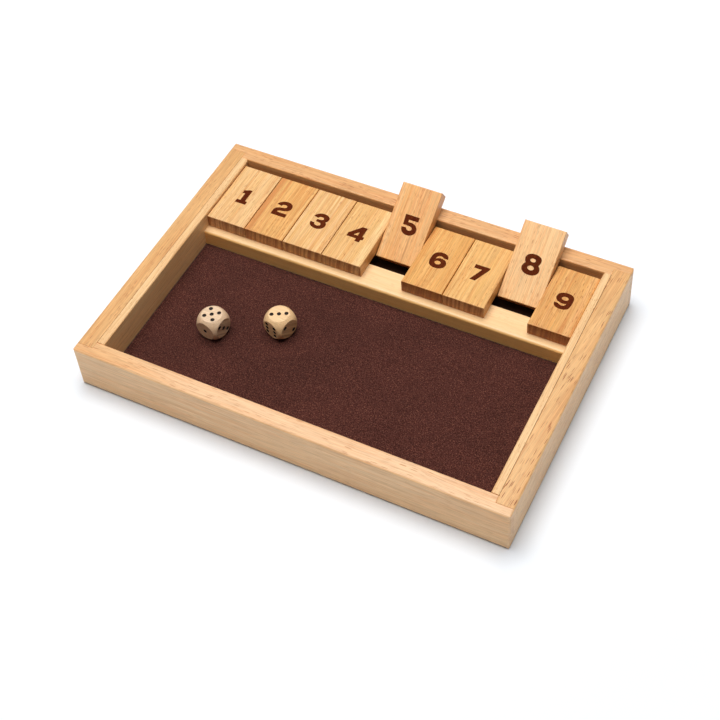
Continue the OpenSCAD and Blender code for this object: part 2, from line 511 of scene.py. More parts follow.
    def seamed(
        self, board: NodeBoard, colour: Socket, grain: GrainFrame, place: Socket, fibre: Socket
    ) -> Socket:
        """Draws the thin dark lines of the glued joints, at a side or at the ends.

        Args:
            board: the material.
            colour: the colour so far.
            grain: the piece's axes.
            place: the place along the grain.
            fibre: the fibres, which break the lines up.

        Returns:
            The new colour.
        """
        if grain.half_size is None:
            return colour
        along, across, _ = board.split(place)
        if self.side_seam and grain.outward is not None:
            reach = board.times(across, -grain.outward.x)
            near = board.step(reach, *[grain.half_size.x - width for width in self.seam_width])
            gaps = board.step(fibre, *self.seam_gap_step, self.seam_gap_level, 1.0)
            colour = board.mix(board.times(near, gaps, self.side_seam), colour, self.seam_colour)
        if self.end_seam:
            reach = board.math("ABSOLUTE", along)
            near = board.step(reach, *[grain.half_size.y - width for width in self.seam_width])
            colour = board.mix(board.times(near, self.end_seam), colour, self.seam_colour)
        return colour

    def rings(self, board: NodeBoard, place: Socket) -> Socket:
        """Draws the growth rings.

        Args:
            board: the material.
            place: the place along the grain.

        Returns:
            The rings from 0, pale, to 1, dark.
        """
        along, across, into = board.split(place)
        side, depth = [board.math("ADD", part, middle) for part, middle in zip((across, into), self.pith)]
        square = board.math("ADD", board.times(side, side), board.times(depth, depth))
        radius = board.math("ADD", board.math("SQRT", square), board.times(along, self.ring_taper))
        waves = board.math("DIVIDE", radius, self.ring_width)
        turns = board.noise(board.math("ADD", waves, self.seed * 3.7), None, 3.0, 0.62)
        return board.step(turns, *self.ring_step)

    def pores(self, board: NodeBoard, place: Socket) -> Socket:
        """Draws the pores: short dark dashes along the grain, in loose crowds and of uneven strength.

        Args:
            board: the material.
            place: the place along the grain.

        Returns:
            The pores from 0, none, to 1.
        """
        far, chance = board.cells(place, (1 / self.pore_length, 1 / self.pore_gap, 1 / self.pore_gap))
        crowd = board.step(board.noise(place, self.crowd_wave), *self.crowd_step, self.crowd_level, 1.0)
        return board.times(board.step(far, *self.pore_edge), board.step(chance, *self.pore_share), crowd)

    def streaked(
        self, board: NodeBoard, colour: Socket, streak: Streak, place: Socket, fibre: Socket
    ) -> Socket:
        """Lays one streak in, broken up by the fibres.

        Args:
            board: the material.
            colour: the colour so far.
            streak: the streak.
            place: the place along the grain.
            fibre: the fibres.

        Returns:
            The new colour.
        """
        wave = board.noise(place, streak.wave, 1.0)
        centre = board.math("MULTIPLY_ADD", wave, streak.wander, streak.across - streak.wander / 2)
        far = board.math("ABSOLUTE", board.math("ADD", board.split(place)[1], centre))
        core = board.step(far, streak.width, 0.0)
        gaps = board.step(fibre, *streak.gap_step, streak.gap_level, 1.0)
        return board.mix(board.times(core, gaps, streak.strength), colour, streak.colour)


@dataclass(frozen=True)
class InkFinish:
    """Dark brown printing ink that lets a little of the grain show."""

    name: str = "number_ink"
    dark: Colour = srgb(80, 26, 6)
    light: Colour = srgb(100, 44, 14)
    streak_wave: Wave = (0.10, 1.8, 1.8)
    mottle_wave: Wave = (0.7, 0.9, 0.9)
    light_step: Span = (0.8, 1.3)
    roughness: Span = (0.68, 0.82)
    specular: float = 0.06
    relief_depth: float = 0.04 * MM

    def material(self, grain: GrainFrame) -> bpy.types.Material:
        """Builds the ink for one tile.

        Args:
            grain: the axes that follow the tile's grain.

        Returns:
            The material.
        """
        board = NodeBoard(self.name)
        place = grain.place(board)
        streaky = board.noise(place, self.streak_wave, 3.0, 0.6)
        mottled = board.noise(place, self.mottle_wave, 3.0, 0.6)
        share = board.step(board.math("ADD", streaky, mottled), *self.light_step)
        board.relief(streaky, self.relief_depth, 0.4)
        return board.surface(board.mix(share, self.dark, self.light),
                             board.step(mottled, *MOST, *self.roughness),
                             {"Specular IOR Level": self.specular})


@dataclass(frozen=True)
class PipPaint:
    """Dark enamel in the pips of a die."""

    name: str = "pip_paint"
    colour: Colour = srgb(26, 10, 6)
    worn: Colour = srgb(70, 36, 20)
    worn_step: Span = (0.52, 0.74)
    worn_most: float = 0.4
    wave: Wave = (2.2, 2.2, 2.2)
    roughness: Span = (0.34, 0.5)
    specular: float = 0.3
    relief_depth: float = 0.03 * MM

    def material(self) -> bpy.types.Material:
        """Builds the paint.

        Returns:
            The material.
        """
        board = NodeBoard(self.name)
        grainy = board.noise(board.millimetres(), self.wave, 3.0, 0.6)
        worn = board.mix(board.step(grainy, *self.worn_step, 0.0, self.worn_most), self.colour, self.worn)
        board.relief(grainy, self.relief_depth, 0.4)
        return board.surface(worn, board.step(grainy, *MOST, *self.roughness),
                             {"Specular IOR Level": self.specular})


@dataclass(frozen=True)
class FeltFinish:
    """Short pressed brown felt, mottled by its fibres."""

    name: str = "brown_felt"
    ground: Colour = srgb(77, 40, 34)
    dark: Colour = srgb(48, 20, 15)
    light: Colour = srgb(126, 79, 64)
    grain_wave: Wave = (1.5, 1.6, 1.55)
    ground_step: Span = (0.38, 0.52)
    light_step: Span = (0.55, 0.72)
    light_most: float = 0.8
    matted_wave: Wave = (0.45, 0.6, 0.6)
    matted_step: Span = (0.42, 0.62)
    matted_most: float = 0.12
    cloud_wave: Wave = (0.035, 0.05, 0.05)
    roughness: Span = (0.88, 0.98)
    sheen: float = 0.08
    sheen_roughness: float = 0.55
    specular: float = 0.12
    relief_depth: float = 0.25 * MM
    fleck_wave: Wave = (1.2, 1.2, 1.2)
    fibre_roughness: Span = (0.8, 0.95)
    fibre_sheen: float = 0.1

    def material(self) -> bpy.types.Material:
        """Builds the mat's own material.

        Returns:
            The material.
        """
        board = NodeBoard(self.name)
        place = board.millimetres()
        fine = board.noise(place, self.grain_wave, 1.0, 0.6)
        matted = board.noise(place, self.matted_wave, 3.0, 0.6)
        cloud = board.noise(place, self.cloud_wave)
        colour = board.mix(board.step(fine, *self.ground_step), self.dark, self.ground)
        colour = board.mix(board.step(fine, *self.light_step, 0.0, self.light_most), colour, self.light)
        colour = board.mix(board.step(matted, *self.matted_step, 0.0, self.matted_most), colour, self.dark)
        colour = board.vector("SCALE", colour, board.step(cloud, *MOST, 0.90, 1.10))
        board.relief(board.math("ADD", fine, matted), self.relief_depth, 0.7)
        return board.surface(colour, board.step(matted, *MOST, *self.roughness), {
            "Sheen Weight": self.sheen, "Sheen Roughness": self.sheen_roughness,
            "Specular IOR Level": self.specular})

    def fibre_material(self) -> bpy.types.Material:
        """Builds the material of the loose fibres, toned by each fibre's own attribute.

        Returns:
            The material.
        """
        board = NodeBoard(self.name + "_fibre")
        tone = board.tree.nodes.new("ShaderNodeAttribute")
        tone.attribute_name = "fibre_tone"
        fleck = board.noise(board.millimetres(), self.fleck_wave)
        colour = board.mix(board.step(tone.outputs["Fac"], 0.15, 0.95), self.dark, self.light)
        colour = board.vector("SCALE", colour, board.step(fleck, *MOST, 0.85, 1.15))
        return board.surface(colour, board.step(fleck, *MOST, *self.fibre_roughness), {
            "Sheen Weight": self.fibre_sheen, "Specular IOR Level": self.specular})


@dataclass(frozen=True)
class SteelFinish:
    """Plain drawn steel with fine lines along the rod."""

    name: str = "drawn_steel"
    colour: Colour = (0.56, 0.56, 0.58)
    tarnish: Colour = (0.40, 0.37, 0.34)
    tarnish_step: Span = (0.45, 0.7)
    tarnish_most: float = 0.5
    tarnish_wave: Wave = (0.08, 0.2, 0.2)
    line_wave: Wave = (0.06, 5.0, 5.0)
    roughness: Span = (0.24, 0.42)
    relief_depth: float = 0.01 * MM

    def material(self) -> bpy.types.Material:
        """Builds the steel.

        Returns:
            The material.
        """
        board = NodeBoard(self.name)
        place = board.millimetres()
        lines = board.noise(place, self.line_wave, 3.0, 0.6)
        patches = board.noise(place, self.tarnish_wave, 3.0)
        dull = board.step(patches, *self.tarnish_step, 0.0, self.tarnish_most)
        board.relief(lines, self.relief_depth, 0.3)
        return board.surface(board.mix(dull, self.colour, self.tarnish),
                             board.step(lines, *MOST, *self.roughness), {"Metallic": 1.0})


# Meshes

def add_object(name: str, data: bpy.types.ID) -> bpy.types.Object:
    """Makes an object at the origin and puts it in the scene.

    Args:
        name: the object's name.
        data: its mesh, curve, lens or lamp.

    Returns:
        The object.
    """
    thing = bpy.data.objects.new(name, data)
    bpy.context.scene.collection.objects.link(thing)
    return thing


def dressed_piece(name: str, mesh: bpy.types.Mesh, material: bpy.types.Material) -> bpy.types.Object:
    """Makes a finished piece from a mesh that is already in place.

    Args:
        name: the piece's name.
        mesh: its mesh.
        material: its one material.

    Returns:
        The piece.
    """
    mesh.name = name
    mesh.materials.clear()
    mesh.materials.append(material)
    return add_object(name, mesh)


def turn_outwards(mesh: bpy.types.Mesh, merge: float = 0.0) -> None:
    """Turns the faces of a closed mesh outwards.

    Args:
        mesh: the mesh.
        merge: how near two points are that are made one first, where it has such doubles.
    """
    shape = bmesh.new()
    shape.from_mesh(mesh)
    if merge:
        bmesh.ops.remove_doubles(shape, verts=shape.verts, dist=merge)
    bmesh.ops.recalc_face_normals(shape, faces=shape.faces)
    shape.to_mesh(mesh)
    shape.free()


def paint_node(name: str, material: bpy.types.Material) -> None:
    """Gives a CAD node a material in each of its slots.

    Args:
        name: the node.
        material: the material.
    """
    slots = frame["nodes"][name].material_slots
    for slot in slots:
        slot.material = material
    log.info("%s: %s in %d slot(s)", name, material.name, len(slots))


class CopyLayout:
    """A Geometry Nodes tree that puts copies of one small shape on points, with named inputs."""

    def __init__(
        self, name: str, shape: bpy.types.Object, inputs: Sequence[tuple[str, str, float]] = ()
    ) -> None:
        """Starts the tree with its named inputs.

        Args:
            name: the tree's name.
            shape: the shape to copy, which becomes the input named Shape.
            inputs: the name, the socket's type and the value of each further input.
        """
        self.tree = bpy.data.node_groups.new(name, "GeometryNodeTree")
        for way in ("INPUT", "OUTPUT"):
            self.tree.interface.new_socket("Geometry", in_out=way, socket_type="NodeSocketGeometry")
        self.settings: dict[str, object] = {}
        for label, kind, value in (("Shape", "NodeSocketObject", shape), *inputs):
            socket = self.tree.interface.new_socket(label, in_out="INPUT", socket_type=kind)
            self.settings[socket.identifier] = value
        self.start = self.add("NodeGroupInput").outputs

    def add(self, kind: str, **settings: str) -> bpy.types.Node:
        """Adds a node.

        Args:
            kind: its type.
            settings: its properties.

        Returns:
            The node.
        """
        node = self.tree.nodes.new(kind)
        for name, value in settings.items():
            setattr(node, name, value)
        return node

    def link(self, *pairs: tuple[Socket, Socket]) -> None:
        """Links each pair's output to its input."""
        for source, target in pairs:
            self.tree.links.new(source, target)

    def copies(self, points: Socket, turn: Socket, size: Optional[Socket] = None) -> Socket:
        """Puts a copy of the shape on each point.

        Args:
            points: the points.
            turn: each copy's rotation.
            size: each copy's scale, where it differs.

        Returns:
            The copies.
        """
        info = self.add("GeometryNodeObjectInfo")
        place = self.add("GeometryNodeInstanceOnPoints")
        self.link((self.start["Shape"], info.inputs["Object"]), (points, place.inputs["Points"]),
                  (info.outputs["Geometry"], place.inputs["Instance"]), (turn, place.inputs["Rotation"]))
        if size is not None:
            self.link((size, place.inputs["Scale"]))
        return place.outputs["Instances"]

    def build(
        self, name: str, carrier: bpy.types.Mesh, copies: Socket, material: bpy.types.Material
    ) -> bpy.types.Object:
        """Ends the tree, lets it work on a mesh and keeps the result as a plain piece.

        Args:
            name: the piece's name.
            carrier: the mesh that the tree starts from.
            copies: what the tree makes.
            material: the piece's finish.

        Returns:
            The piece, without its modifier.
        """
        real = self.add("GeometryNodeRealizeInstances")
        coat = self.add("GeometryNodeSetMaterial")
        coat.inputs["Material"].default_value = material
        end = self.add("NodeGroupOutput")
        self.link((copies, real.inputs["Geometry"]), (real.outputs["Geometry"], coat.inputs["Geometry"]),
                  (coat.outputs["Geometry"], end.inputs["Geometry"]))
        piece = add_object(name, carrier)
        modifier = piece.modifiers.new("layout", "NODES")
        modifier.node_group = self.tree
        for identifier, value in self.settings.items():
            modifier[identifier] = value
        bpy.context.view_layer.update()
        mesh = bpy.data.meshes.new_from_object(piece.evaluated_get(bpy.context.evaluated_depsgraph_get()))
        bpy.data.objects.remove(piece)
        return dressed_piece(name, mesh, material)


# Pieces

class Bend(Enum):
    """How an outline passes a point."""

    SHARP = "VECTOR"
    ROUND = "AUTO"


S, R = Bend.SHARP, Bend.ROUND
Loop = tuple[tuple[float, float, Bend], ...]


def oval(x: float, y: float, half_width: float, half_height: float) -> Loop:
    """Makes an oval opening.

    Args:
        x, y: its middle.
        half_width, half_height: its reach to the side and upwards.

    Returns:
        An outline of eight points.
    """
    turns = [math.radians(45 * i) for i in range(8)]
    return tuple((x + half_width * math.cos(a), y + half_height * math.sin(a), R) for a in turns)


# Outlines of the numerals in millimetres from the tile's middle: x to the right, y up and each point's bend
NUMERALS: dict[int, tuple[Loop, ...]] = {
    1: (
        ((2.3, 6.2, S), (0.9, 6.2, S), (-3.0, 4.6, S), (-3.0, 1.9, S), (-1.2, 2.4, S), (-1.2, -4.0, S),
         (-3.6, -4.0, S), (-3.6, -6.8, S), (3.9, -6.8, S), (3.9, -4.0, S), (2.3, -4.0, S)),
    ),
    2: (
        ((-4.9, -6.8, S), (5.5, -6.8, S), (5.5, -3.8, S), (-1.1, -3.8, S), (-1.8, -3.2, R), (-1.2, -2.6, R),
         (0.6, -2.1, R), (3.0, -1.5, R), (4.9, -0.5, R), (5.8, 1.0, R), (5.9, 2.7, R), (5.2, 4.6, R),
         (3.4, 6.0, R), (0.9, 6.4, R), (-2.0, 5.7, R), (-3.9, 4.2, R), (-4.8, 2.5, S), (-1.5, 1.9, S),
         (-0.9, 2.9, R), (0.5, 3.4, R), (1.9, 3.1, R), (2.5, 2.2, R), (2.0, 1.2, R), (0.8, 0.7, R),
         (-1.5, 0.3, R), (-3.6, -0.6, R), (-4.7, -2.0, R), (-4.95, -4.0, R)),
    ),
    3: (
        ((-5.5, 2.6, S), (-4.6, 4.3, R), (-2.8, 5.8, R), (0.0, 6.4, R), (2.9, 5.8, R), (4.6, 4.3, R),
         (5.05, 2.5, R), (4.7, 1.0, R), (3.9, 0.0, S), (4.8, -1.2, R), (5.15, -2.8, R), (4.6, -4.8, R),
         (2.9, -6.4, R), (0.0, -7.1, R), (-3.0, -6.4, R), (-4.9, -4.8, R), (-5.7, -2.4, S), (-2.7, -2.6, S),
         (-2.1, -3.8, R), (-0.5, -4.4, R), (1.0, -4.1, R), (1.6, -3.1, R), (1.2, -2.0, R), (-0.2, -1.5, R),
         (-2.3, -1.4, S), (-2.5, 0.8, S), (-0.3, 0.9, R), (1.2, 1.3, R), (1.6, 2.2, R), (0.9, 3.1, R),
         (-0.5, 3.3, R), (-1.7, 2.8, R), (-2.4, 1.9, S)),
    ),
    4: (
        ((0.0, 5.9, S), (3.5, 5.9, S), (3.5, -1.9, S), (4.8, -1.9, S), (4.8, -4.5, S), (3.5, -4.5, S),
         (3.5, -6.8, S), (0.2, -6.8, S), (0.2, -4.5, S), (-6.5, -4.5, S), (-6.5, -1.6, S)),
        ((0.2, -1.9, S), (0.2, 1.2, S), (-2.7, -1.9, S)),
    ),
    5: (
        ((-4.3, 5.9, S), (5.3, 5.9, S), (5.3, 2.9, S), (-1.0, 2.9, S), (-1.0, 1.3, S), (1.0, 1.4, R),
         (3.0, 1.0, R), (4.9, -0.2, R), (5.95, -2.4, R), (5.4, -4.8, R), (3.5, -6.4, R), (0.9, -7.0, R),
         (-1.9, -6.3, R), (-3.6, -4.7, R), (-4.3, -2.5, S), (-1.1, -2.3, S), (-0.5, -3.3, R), (0.7, -3.9, R),
         (2.1, -3.6, R), (2.7, -2.6, R), (2.2, -1.6, R), (0.9, -1.1, R), (-1.2, -0.9, R), (-3.8, -0.9, S)),
    ),
    6: (
        ((5.5, 2.1, S), (5.1, 3.6, R), (4.1, 5.0, R), (2.4, 5.9, R), (0.4, 6.2, R), (-2.4, 5.6, R),
         (-4.4, 3.8, R), (-5.05, 0.0, R), (-4.8, -3.7, R), (-3.2, -6.1, R), (0.5, -7.1, R), (4.2, -6.1, R),
         (5.9, -3.8, R), (5.7, -1.2, R), (4.2, 0.6, R), (1.8, 1.35, R), (-0.4, 1.1, R), (-1.8, 0.3, S),
         (-1.7, 1.6, R), (-1.1, 2.5, R), (0.3, 3.0, R), (1.7, 2.8, R), (2.7, 2.0, S)),
        oval(0.45, -2.5, 1.95, 1.5),
    ),
    7: (
        ((-4.95, 5.9, S), (4.85, 5.9, S), (4.75, 4.4, S), (-0.25, -6.8, S), (-3.95, -6.8, S), (0.35, 2.85, S),
         (-4.85, 2.85, S)),
    ),
    8: (
        ((0.0, 6.2, R), (3.0, 5.7, R), (4.9, 4.3, R), (5.3, 2.5, R), (4.95, 1.0, R), (4.4, -0.15, S),
         (5.5, -1.6, R), (5.9, -3.3, R), (5.2, -5.2, R), (3.2, -6.6, R), (0.15, -7.1, R), (-2.9, -6.6, R),
         (-4.9, -5.2, R), (-5.6, -3.3, R), (-5.15, -1.6, R), (-4.1, -0.2, S), (-4.8, 1.0, R), (-5.1, 2.6, R),
         (-4.6, 4.3, R), (-2.8, 5.7, R)),
        oval(0.0, 2.2, 1.75, 1.15),
        oval(0.15, -2.7, 2.05, 1.4),
    ),
    9: (
        ((-5.45, -3.0, S), (-3.0, -3.1, S), (-1.9, -3.8, R), (-0.3, -4.2, R), (1.3, -3.6, R), (1.9, -2.0, S),
         (0.0, -2.45, R), (-2.4, -2.2, R), (-4.5, -1.0, R), (-5.6, 0.8, R), (-5.6, 2.6, R), (-4.4, 4.8, R),
         (-2.6, 5.8, R), (-0.2, 6.2, R), (2.9, 5.6, R), (4.6, 4.0, R), (5.15, 0.5, R), (4.9, -3.0, R),
         (4.2, -5.2, R), (2.6, -6.5, R), (-0.3, -7.1, R), (-3.2, -6.6, R), (-4.8, -5.2, R)),
        oval(-0.15, 1.65, 2.05, 1.45),
    ),
}


@dataclass
class NumberTile:
    """One numbered tile: a wood finish on its CAD node and a printed numeral on both faces."""

    number: int
    wood: WoodFinish
    thickness: float = 9.0 * MM
    middle_from_bore: float = 9.9 * MM
    flip: float = math.radians(148.192)
    ink: InkFinish = field(default_factory=InkFinish)
    film: float = 0.06 * MM
    merge: float = 0.002 * MM

    def __post_init__(self) -> None:
        """Reads the tile's bore and its state from its joint."""
        self.body = f"tile_{self.number}"
        joint = next(j for j in frame["joints"] if j["child"] == self.body)
        self.bore = Vector(joint["pos_m"])
        raised = joint["range_deg"][0] < 0
        self.turn = -self.flip if raised else 0.0

    def placing(self) -> Matrix:
        """Returns the matrix from the flat tile's axes, with the bore as origin, to the frame."""
        return Matrix.Translation(self.bore) @ Matrix.Rotation(self.turn, 4, "X")

    def grain(self) -> GrainFrame:
        """Returns the axes along the tile's own grain."""
        middle = self.placing() @ Vector((0, -self.middle_from_bore, 0))
        return GrainFrame(middle, GrainRun.ALONG_Y, self.turn)

    def outline(self) -> bpy.types.Mesh:
        """Draws the tile's numeral, filled and given the ink's thickness.

        Returns:
            The mesh, in millimetres and flat.
        """
        curve = bpy.data.curves.new(f"outline_{self.number}", "CURVE")
        curve.dimensions = "2D"
        curve.fill_mode = "BOTH"
        curve.extrude = self.film / MM
        curve.resolution_u = 6
        for loop in NUMERALS[self.number]:
            spline = curve.splines.new("BEZIER")
            spline.bezier_points.add(len(loop) - 1)
            spline.use_cyclic_u = True
            for point, (x, y, bend) in zip(spline.bezier_points, loop):
                point.co = (x, y, 0)
                point.handle_left_type = point.handle_right_type = bend.value
        drawing = add_object(curve.name, curve)
        bpy.context.view_layer.update()
        mesh = bpy.data.meshes.new_from_object(drawing)
        bpy.data.objects.remove(drawing)
        return mesh

    def numeral(self, name: str, side: int, material: bpy.types.Material) -> bpy.types.Object:
        """Makes the numeral of one face as a thin film of ink.

        Args:
            name: the piece's name.
            side: 1 for the top, -1 for the face that shows when the tile is up.
            material: the ink.

        Returns:
            The piece.
        """
        mesh = self.outline()
        face = Matrix.Translation((0, -self.middle_from_bore, side * self.thickness / 2))
        flat = Matrix.Diagonal((MM, side * MM, side * MM, 1))
        mesh.transform(self.placing() @ face @ flat)
        turn_outwards(mesh, self.merge)
        return dressed_piece(name, mesh, material)

    def dress(self) -> None:
        """Paints the tile and prints both of its faces."""
        paint_node(self.body, self.wood.material(self.grain()))
        ink = self.ink.material(self.grain())
        for face, side in (("top", 1), ("under", -1)):
            piece = self.numeral(f"numeral_{self.number}_{face}", side, ink)
            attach(piece, self.body)
            log.info("%s: %d faces on %s", piece.name, len(piece.data.polygons), self.body)


@dataclass
class Die:
    """A wooden die with painted pips."""

    number: int
    faces: tuple[int, int, int]
    turn: float
    wood: WoodFinish
    size: float = 16.0 * MM
    pip_width: float = 2.6 * MM
    pip_depth: float = 0.8 * MM
    pip_spread: float = 3.2 * MM
    paint_film: float = 0.05 * MM
    paint_sides: int = 16
    paint_rows: int = 4
    paint: PipPaint = field(default_factory=PipPaint)

    def pip_places(self) -> list[tuple[Vector, Vector]]:
        """Works out where the pips are, round the die's middle.

        Returns:
            Each pip's place and its face's outward direction.
        """
        top, front, right = self.faces
        half, quarter = math.pi, math.pi / 2
        upright = Matrix.Rotation(quarter, 3, "X")
        turns = (
            (top, 1, Matrix.Identity(3)),
            (7 - top, 1, Matrix.Rotation(half, 3, "X")),
            (front, 1, upright),
            (7 - front, 1, Matrix.Rotation(half, 3, "Z") @ upright),
            (right, -1, Matrix.Rotation(quarter, 3, "Z") @ upright),
            (7 - right, 1, Matrix.Rotation(-quarter, 3, "Z") @ upright),
        )
        found = []
        for count, slope, turn in turns:
            spots = [(0, 0)] if count % 2 else []
            spots += [(-1, -slope), (1, slope)] if count >= 2 else []
            spots += [(-1, slope), (1, -slope)] if count >= 4 else []
            spots += [(-1, 0), (1, 0)] if count == 6 else []
            for x, y in spots:
                place = Vector((x * self.pip_spread, y * self.pip_spread, self.size / 2))
                found.append((turn @ place, turn @ Vector((0, 0, 1))))
        return found

    def placing(self) -> Matrix:
        """Returns the matrix from the die's own axes to the frame."""
        low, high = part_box(f"die_{self.number}")
        return Matrix.Translation((low + high) / 2) @ Matrix.Rotation(-self.turn, 4, "Z")

    def paint_drop(self) -> bpy.types.Object:
        """Makes one thin dish of paint that lines a pip, with the pip's rim at z = 0.

        Returns:
            The dish.
        """
        ball = ((self.pip_width / 2) ** 2 + self.pip_depth ** 2) / (2 * self.pip_depth)
        centre = ball - self.pip_depth
        sides, rows = self.paint_sides, self.paint_rows
        points: list[Vector] = []
        faces: list[tuple[int, ...]] = []
        for radius in (ball + self.paint_film, ball - self.paint_film):
            reach = math.acos(min(1.0, (centre + 0.5 * self.paint_film) / radius))
            low = len(points)
            points.append(Vector((0, 0, centre - radius)))
            for i in range(1, rows + 1):
                polar = reach * i / rows
                ring = Vector((radius * math.sin(polar), 0, centre - radius * math.cos(polar)))
                points += [Matrix.Rotation(2 * math.pi * j / sides, 3, "Z") @ ring for j in range(sides)]
            for j in range(sides):
                k = (j + 1) % sides
                faces.append((low, low + 1 + j, low + 1 + k))
                for i in range(rows - 1):
                    first = low + 1 + i * sides
                    faces.append((first + j, first + sides + j, first + sides + k, first + k))
        rims = [skin * (1 + rows * sides) + 1 + (rows - 1) * sides for skin in (0, 1)]
        for j in range(sides):
            k = (j + 1) % sides
            faces.append((rims[0] + j, rims[1] + j, rims[1] + k, rims[0] + k))
        mesh = bpy.data.meshes.new("paint_drop")
        mesh.from_pydata(points, [], faces)
        turn_outwards(mesh)
        return add_object("paint_drop", mesh)

    def pips(self) -> bpy.types.Object:
        """Puts a dish of paint in every pip.

        Returns:
            All of the die's paint as one piece.
        """
        name = f"pips_{self.number}"
        placing = self.placing()
        pips = self.pip_places()
        carrier = bpy.data.meshes.new(name)
        carrier.from_pydata([placing @ place for place, _ in pips], [], [])
        ways = carrier.attributes.new("facing", "FLOAT_VECTOR", "POINT")
        for entry, (_, way) in zip(ways.data, pips):
            entry.vector = placing.to_3x3() @ way
        drop = self.paint_drop()
        layout = CopyLayout(name + "_layout", drop)
        facing = layout.add("GeometryNodeInputNamedAttribute", data_type="FLOAT_VECTOR")
        facing.inputs["Name"].default_value = "facing"
        align = layout.add("FunctionNodeAlignRotationToVector", axis="Z")
        layout.link((facing.outputs["Attribute"], align.inputs["Vector"]))
        copies = layout.copies(layout.start["Geometry"], align.outputs["Rotation"])
        piece = layout.build(name, carrier, copies, self.paint.material())
        bpy.data.objects.remove(drop)
        return piece

    def dress(self) -> None:
        """Paints the die's wood and fills its pips."""
        body = f"die_{self.number}"
        paint_node(body, self.wood.material(GrainFrame(self.placing().translation, GrainRun.ALONG_X)))
        piece = self.pips()
        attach(piece, body)
        log.info("%s: %d faces on %s", piece.name, len(piece.data.polygons), body)


